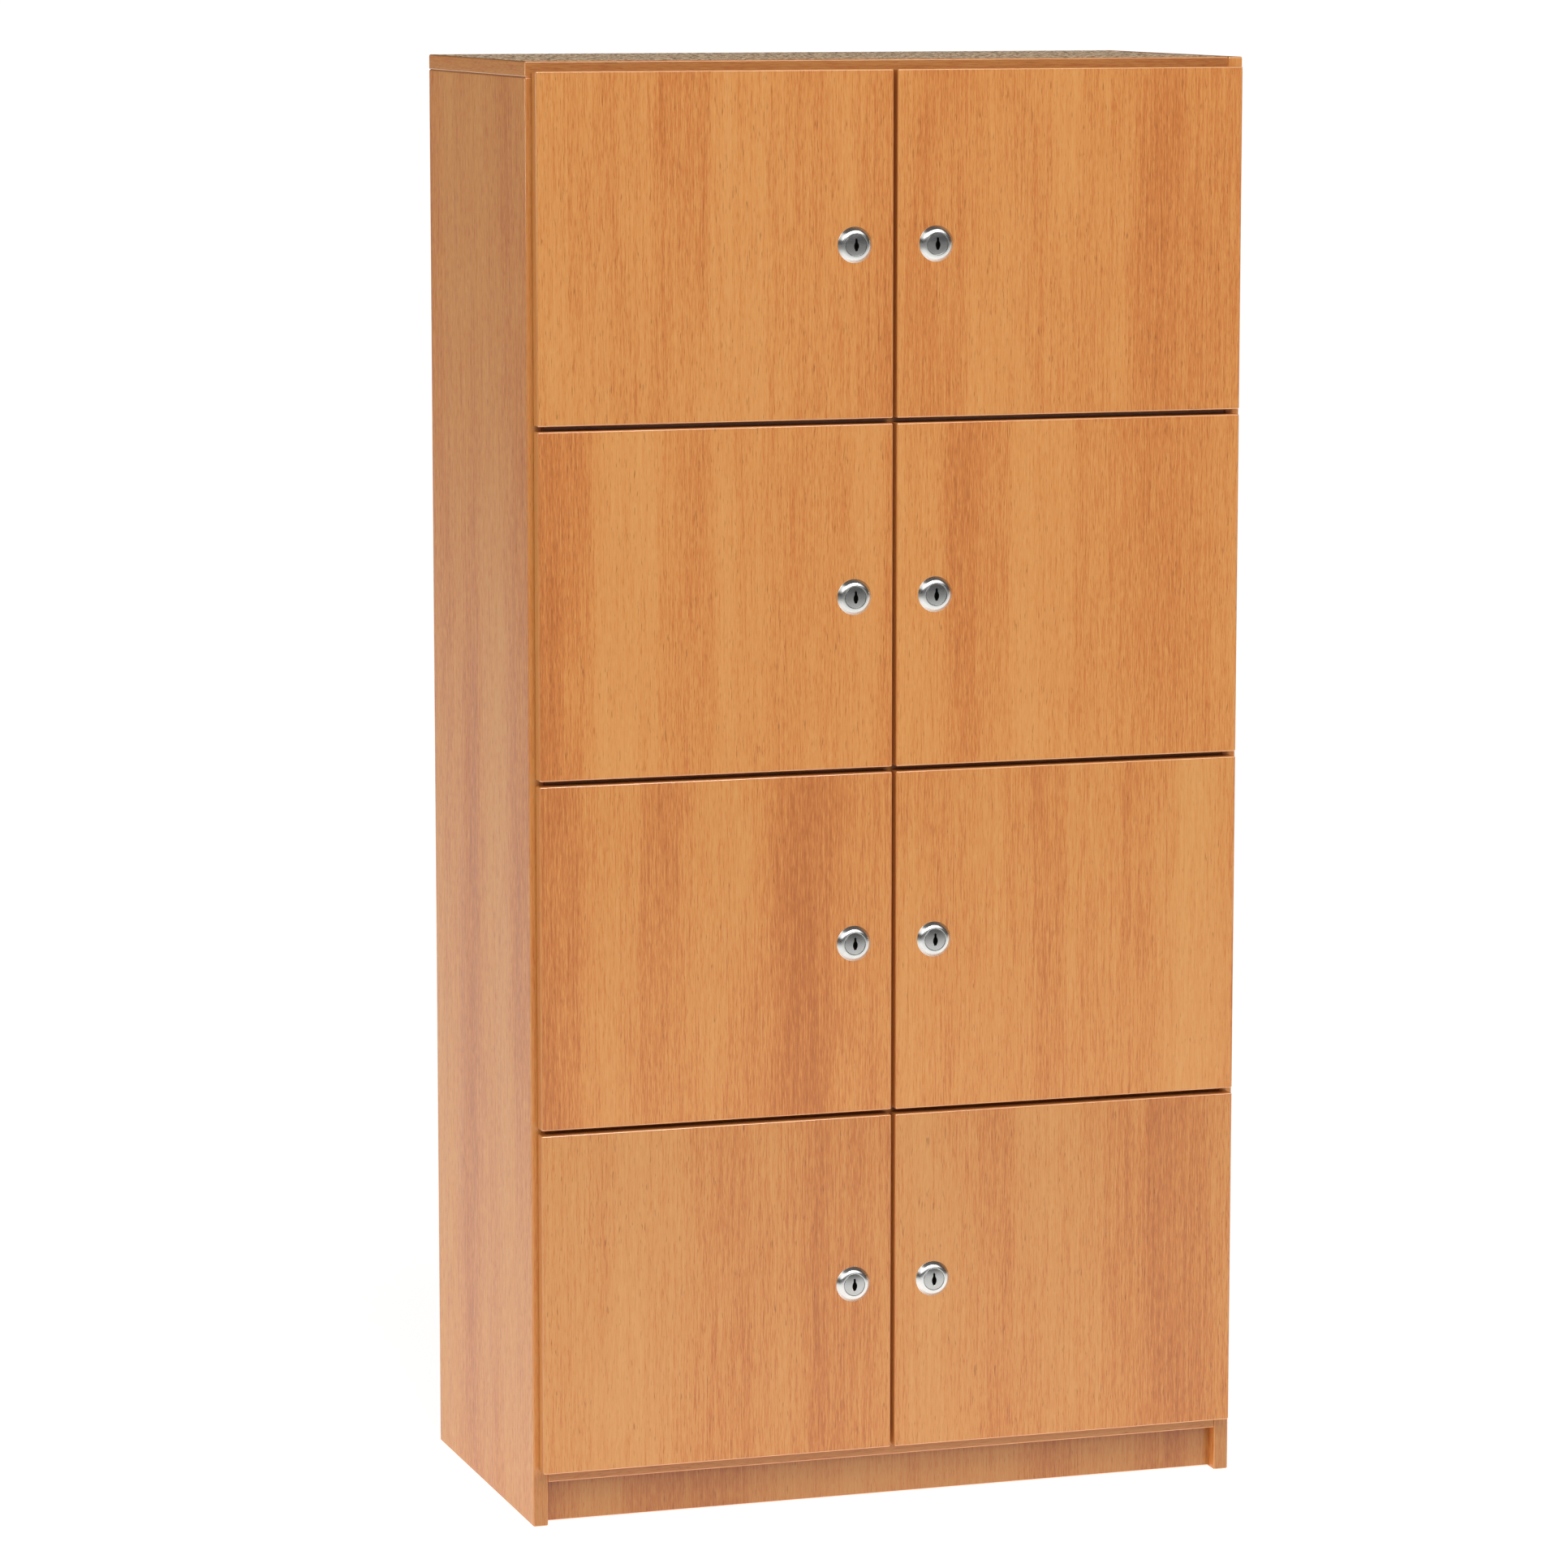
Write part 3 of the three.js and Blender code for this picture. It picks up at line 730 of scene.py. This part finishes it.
def paint_keyhole_shade(plug, front):
    """Puts the keyhole's walls and floor of a plug at the origin in the second slot, its painted shade."""
    floor_y = front + KEYHOLE_DEPTH
    for face in plug.polygons:
        out = math.hypot(face.center.x, face.center.z)
        is_wall = abs(face.normal.y) < 0.3 and out < 7.5 * MM and face.center.y < floor_y + 0.5 * MM
        is_floor = abs(face.center.y - floor_y) < 0.5 * MM and out < 3 * MM
        face.material_index = 1 if is_wall or is_floor else 0


def plug_mesh():
    """The turning plug: its slightly crowned face with a keyhole, its shaft, crank and pin."""
    lock = lock_place()
    front = lock.foremost
    pin_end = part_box("lock_plug_r1")[1].y
    crank = pin_end - PIN_LENGTH
    edge = PLUG_RADIUS - PLUG_CHAMFER
    seat = lock.face - PLUG_SEAT
    steps = 10
    profile = [(edge * i / steps, front + PLUG_CROWN * (i / steps) ** 2) for i in range(steps + 1)]
    profile += [(PLUG_RADIUS, front + PLUG_CROWN + PLUG_CHAMFER), (PLUG_RADIUS, seat), (SHAFT_RADIUS, seat),
                (SHAFT_RADIUS, crank - CRANK_THICK), (CRANK_RADIUS, crank - CRANK_THICK),
                (CRANK_RADIUS, crank), (0, crank)]
    body = combined(turned(profile), [keyhole_mesh(front)])
    paint_keyhole_shade(body, front)
    body.transform(Matrix.Translation((lock.x, 0, lock.z)))
    reach = PIN_ARM / math.sqrt(2)
    pin_profile = [(0, crank - MM), (PIN_RADIUS, crank - MM), (PIN_RADIUS, pin_end - 0.3 * MM),
                   (PIN_RADIUS - 0.3 * MM, pin_end), (0, pin_end)]
    pin = turned(pin_profile, lock.x + reach, lock.z + reach, 32)
    return joined(smoothed(body, 30), painted(smoothed(pin), 0))


def case_place():
    """The coin case's two corners, and the x and y of its coin slot."""
    lock = lock_place()
    lo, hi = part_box("lock_body_r1")
    case_lo = Vector((lock.x - CASE_OUTER, lock.rear, lo.z))
    case_hi = Vector((lock.x + CASE_INNER, hi.y, hi.z))
    return case_lo, case_hi, lock.x - COIN_OFFSET, hi.y - COIN_SLOT_FROM_REAR


def coin_slot_cutter(bottom, top):
    """The coin slot's opening, between two heights."""
    coin_x, slot_y = case_place()[2:]
    half_width, half_thick = COIN_SLOT
    return plain_box((coin_x - half_width, slot_y - half_thick, bottom),
                     (coin_x + half_width, slot_y + half_thick, top))


def seam_cutter(case_lo, case_hi):
    """A shallow groove round the case, where its cover meets its base."""
    depth = 0.5 * MM
    rim = plain_box((case_lo.x - MM, case_hi.y - 7 * MM, case_lo.z - MM),
                    (case_hi.x + MM, case_hi.y - 6.4 * MM, case_hi.z + MM))
    core = plain_box((case_lo.x + depth, case_hi.y - 9 * MM, case_lo.z + depth),
                     (case_hi.x - depth, case_hi.y - 5 * MM, case_hi.z - depth))
    return combined(rim, [core])


def case_shell():
    """The hollow coin case, open for the bolt, the coin, the coin's return and the lock tube."""
    lock = lock_place()
    case_lo, case_hi, coin_x, slot_y = case_place()

    def is_return_side(middle):
        return abs(middle.y - case_hi.y) < MM and abs(middle.x - coin_x) > 12 * MM

    outer = rounded_box(case_lo, case_hi, CASE_ARRIS, lambda middle: middle.y > lock.rear + MM, 5)
    wall = Vector((CASE_WALL, CASE_WALL, CASE_WALL))
    inside = plain_box(case_lo + wall, case_hi - wall)
    bolt_lo, bolt_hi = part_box("lock_bolt_r1")
    window = plain_box((case_lo.x - MM, bolt_lo.y - PLAY, bolt_lo.z - PLAY),
                       (case_lo.x + CASE_WALL + MM, bolt_hi.y + PLAY, bolt_hi.z + PLAY))
    coin_slot = coin_slot_cutter(case_hi.z - CASE_WALL - MM, case_hi.z + MM)
    return_bottom = case_lo.z + CASE_WALL
    return_hole = rounded_box((coin_x - 16 * MM, case_hi.y - CASE_WALL - MM, return_bottom),
                              (coin_x + 16 * MM, case_hi.y + MM, return_bottom + 24 * MM), 3 * MM,
                              is_return_side)
    bore = cylinder(10.3 * MM, lock.rear - MM, lock.rear + CASE_WALL + MM, lock.x, lock.z)
    cuts = [inside, window, coin_slot, return_hole, bore, seam_cutter(case_lo, case_hi)]
    return smoothed(combined(outer, cuts), 30)


def case_trim():
    """The case's bright parts: the slot's bezel, the return's frame, the screws and the coin chute."""
    rear = lock_place().rear
    case_lo, case_hi, coin_x, slot_y = case_place()
    bezel = rounded_box((coin_x - 17 * MM, slot_y - 4 * MM, case_hi.z - 0.3 * MM),
                        (coin_x + 17 * MM, slot_y + 4 * MM, case_hi.z + 1.2 * MM), 0.5 * MM, steps=3)
    bright = [smoothed(combined(bezel, [coin_slot_cutter(case_hi.z - MM, case_hi.z + 3 * MM)]))]
    surround = rounded_box((coin_x - 19 * MM, case_hi.y - 0.3 * MM, case_lo.z + 1.2 * MM),
                           (coin_x + 19 * MM, case_hi.y + 0.9 * MM, case_lo.z + 29 * MM), 0.4 * MM, steps=2)
    opening = plain_box((coin_x - 15.5 * MM, case_hi.y - 3 * MM, case_lo.z + CASE_WALL + 0.6 * MM),
                        (coin_x + 15.5 * MM, case_hi.y + 3 * MM, case_lo.z + 25.4 * MM))
    bright.append(smoothed(combined(surround, [opening])))
    for px in (case_lo.x + 6 * MM, case_hi.x - 6 * MM):
        for pz in (case_hi.z - 6 * MM, case_lo.z + 38 * MM):
            bright.append(screw(2.9 * MM, 1.2 * MM, (px, case_hi.y, pz), (0, 1, 0)))
    half = 15.2 * MM
    thick = 1.2 * MM
    chute = extruded([(-half, 0), (half, 0), (half, thick), (-half, thick)], [(0, 1), (19 * MM, 1)])
    chute_place = Vector((coin_x, rear + CASE_WALL + 1.5 * MM, case_lo.z + CASE_WALL + 6 * MM))
    chute.transform(Matrix.Translation(chute_place) @ Matrix.Rotation(math.radians(-12), 4, "X"))
    return bright + [smoothed(chute)]


def case_mesh():
    """The coin case on the door's rear face, with its bright parts in the second slot."""
    return joined(painted(case_shell(), 0), *[painted(mesh, 1) for mesh in case_trim()])


def bolt_mesh():
    """The sliding bolt, with the slot that the crank pin moves in and a notch in its lower edge."""
    lock = lock_place()
    lo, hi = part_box("lock_bolt_r1")
    middle_y = (lo.y + hi.y) / 2
    slot = rounded_box((lock.x + 2.7 * MM, lo.y - MM, lock.z + 2.6 * MM),
                       (lock.x + 7.9 * MM, hi.y + MM, lock.z + 10.2 * MM), 1.5 * MM,
                       lambda middle: abs(middle.y - middle_y) < MM)
    notch = plain_box((hi.x - 18 * MM, lo.y - MM, lo.z - MM), (hi.x - 8 * MM, hi.y + MM, lo.z + 5 * MM))
    return smoothed(combined(rounded_box(lo, hi, 0.8 * MM), [slot, notch]))


def bumper_mesh():
    """Two soft bumpers on the door's rear face, where it meets the partition's front edge."""
    lo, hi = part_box("door_r1")
    part_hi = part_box("centre_partition")[1]
    x = (lo.x + part_hi.x) / 2
    shoulder = hi.y + BUMPER_THICK * 0.4
    dome = arc((BUMPER_RADIUS * 0.55, shoulder), (BUMPER_RADIUS * 0.45, BUMPER_THICK * 0.6), 0, 90, 6)
    profile = [(0, hi.y), (BUMPER_RADIUS, hi.y), (BUMPER_RADIUS, shoulder)]
    profile += dome[1:] + [(0, hi.y + BUMPER_THICK)]
    return joined(*[smoothed(turned(profile, x, z, 40)) for z in (lo.z + 30 * MM, hi.z - 30 * MM)])


def fit_door(column, side, row, shapes):
    """Places one door and all its fittings, from the shapes of its column's first row."""
    label = f"{column}{row}"
    body = f"door_{label}"
    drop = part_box(body)[0].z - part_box(f"door_{column}1")[0].z

    def fit(name, shape, rides_on, slot, materials, *replaced):
        piece(name, lowered(shapes[shape], drop), rides_on, slot, materials, *replaced)

    seed = 20.0 + row * 3.7 + (0 if side < 0 else 17.3)
    door = lowered(shapes["door"], drop)
    materials = band_faces(door, "y", beech(f"beech_door_{label}", seed, shade=DOOR_PAINTED_SHADE[row]))
    piece(f"{body}_panel", smoothed(door), body, "beech", materials, body)
    fit(f"hinge_cups_{label}", "cups", body, "zinc", [ZINC, NICKEL])
    for where in ("upper", "lower"):
        node = f"hinge_arm_{label}_{where}"
        fit(f"{node}_plate", f"arm_{where}", "cabinet", "zinc", [ZINC, NICKEL], node)
    lock_body = f"lock_body_{label}"
    plug = f"lock_plug_{label}"
    bolt = f"lock_bolt_{label}"
    fit(f"lock_rosette_{label}", "rosette", body, "satin_chrome", [CHROME], lock_body)
    fit(f"coin_case_{label}", "case", body, "satin_chrome", [CASE_GREY, NICKEL], lock_body)
    fit(f"{plug}_face", "plug", plug, "satin_chrome", [PLUG_CHROME, KEYHOLE_PAINTED_SHADE], plug)
    fit(f"{bolt}_bar", "bolt", bolt, "zinc", [ZINC], bolt)
    fit(f"bumpers_{label}", "bumpers", body, "zinc", [BUMPER])


def doors_and_fittings():
    """Builds each shape once for the right column, and mirrors it for the left one."""
    upper, lower = hinge_heights()
    right = {
        "door": door_mesh(), "cups": cup_mesh(), "arm_upper": arm_mesh(upper), "arm_lower": arm_mesh(lower),
        "rosette": rosette_mesh(), "case": case_mesh(), "plug": plug_mesh(), "bolt": bolt_mesh(),
        "bumpers": bumper_mesh(),
    }
    left = {name: mirrored(mesh) for name, mesh in right.items()}
    for column, side in COLUMNS:
        for row in ROWS:
            fit_door(column, side, row, left if side < 0 else right)


# ---- studio ----
ROOM_LIGHT = 0.06
BAND_LIGHT = 2.75
BAND_HEIGHT = (0.32, 0.40, 0.73, 0.80)  # sines of the elevations where the band starts and ends
BAND_BEARING = (-1.55, -0.75, 0.55, 0.95)  # radians from straight ahead, negative to the left


def area_light(name, place, target, size, power):
    """A white softbox that faces the target."""
    data = bpy.data.lights.new(name, "AREA")
    data.shape = "RECTANGLE"
    data.size, data.size_y = size
    data.energy = power
    lamp = bpy.data.objects.new(name, data)
    bpy.context.scene.collection.objects.link(lamp)
    lamp.location = place
    lamp.rotation_euler = (Vector(target) - Vector(place)).to_track_quat("-Z", "Y").to_euler()


def floor_paper():
    """Pale paper that glows. The glow fades out in front of the locker and to its left."""
    material, n = new_material("studio_floor_paper")
    cloud = n.noise(n.place((0.8, 0.8, 0.8)), 2.0)
    place = n.split(n.place((1, 1, 1)))
    front_fade = n.remap(place["y"], -7.0, -0.9, 0.08, 0.82)
    left_fade = n.remap(place["x"], -4.5, -1.1, 0.1, 1.0)
    n.finish(Base_Color=n.mix(cloud, srgb(188, 187, 186), srgb(194, 194, 193)), Roughness=0.85,
             Specular_IOR_Level=0.1, Emission_Color=(1, 1, 1, 1),
             Emission_Strength=n.math("MULTIPLY", front_fade, left_fade))
    return material


def floor():
    bm = bmesh.new()
    bmesh.ops.create_grid(bm, x_segments=8, y_segments=8, size=600)
    obj = bpy.data.objects.new("studio_floor", mesh_from(bm, "studio_floor"))
    bpy.context.scene.collection.objects.link(obj)
    obj.data.materials.append(floor_paper())


def window(n, value, edges):
    """One between the two middle edges, fading to nought at the outer ones."""
    start, full, fading, end = edges
    return n.math("MULTIPLY", n.remap(value, start, full), n.remap(value, fading, end, 1.0, 0.0))


def sky():
    """A dim room with one very wide softbox, high in front of the locker and round to its left."""
    world = bpy.data.worlds.new("studio_world")
    bpy.context.scene.world = world
    world.use_nodes = True
    n = Nodes(world.node_tree)
    ray = n.split(n.add("ShaderNodeTexCoord").outputs["Generated"])
    bearing = n.math("ARCTAN2", ray["x"], n.math("MULTIPLY", ray["y"], -1.0))
    band = n.math("MULTIPLY", window(n, ray["z"], BAND_HEIGHT), window(n, bearing, BAND_BEARING))
    background = n.tree.nodes["Background"]
    n.feed(background, "Color", (1, 1, 1, 1))
    n.feed(background, "Strength", n.math("MULTIPLY_ADD", band, BAND_LIGHT, ROOM_LIGHT))


def camera():
    """A long lens in front of the locker, a little to its left and above."""
    data = bpy.data.cameras.new("camera")
    data.sensor_width = 36.0
    data.lens = 136.27
    data.clip_end = 200
    obj = bpy.data.objects.new("camera", data)
    bpy.context.scene.collection.objects.link(obj)
    obj.location = (-2.3707, -7.0976, 1.9429)
    obj.rotation_euler = (math.radians(81.91), 0, math.radians(-17.98))
    bpy.context.scene.camera = obj


camera()
outer_boards()
inner_boards()
doors_and_fittings()
floor()
area_light("top_softbox", (0.2, -2.7, 3.3), (0, -0.2, 1.4), (1.8, 0.8), 30)
area_light("left_softbox", (-3.6, 1.0, 1.9), (-0.46, 0, 1.2), (1.0, 1.0), 26)
sky()
bpy.context.scene.view_settings.view_transform = "Standard"
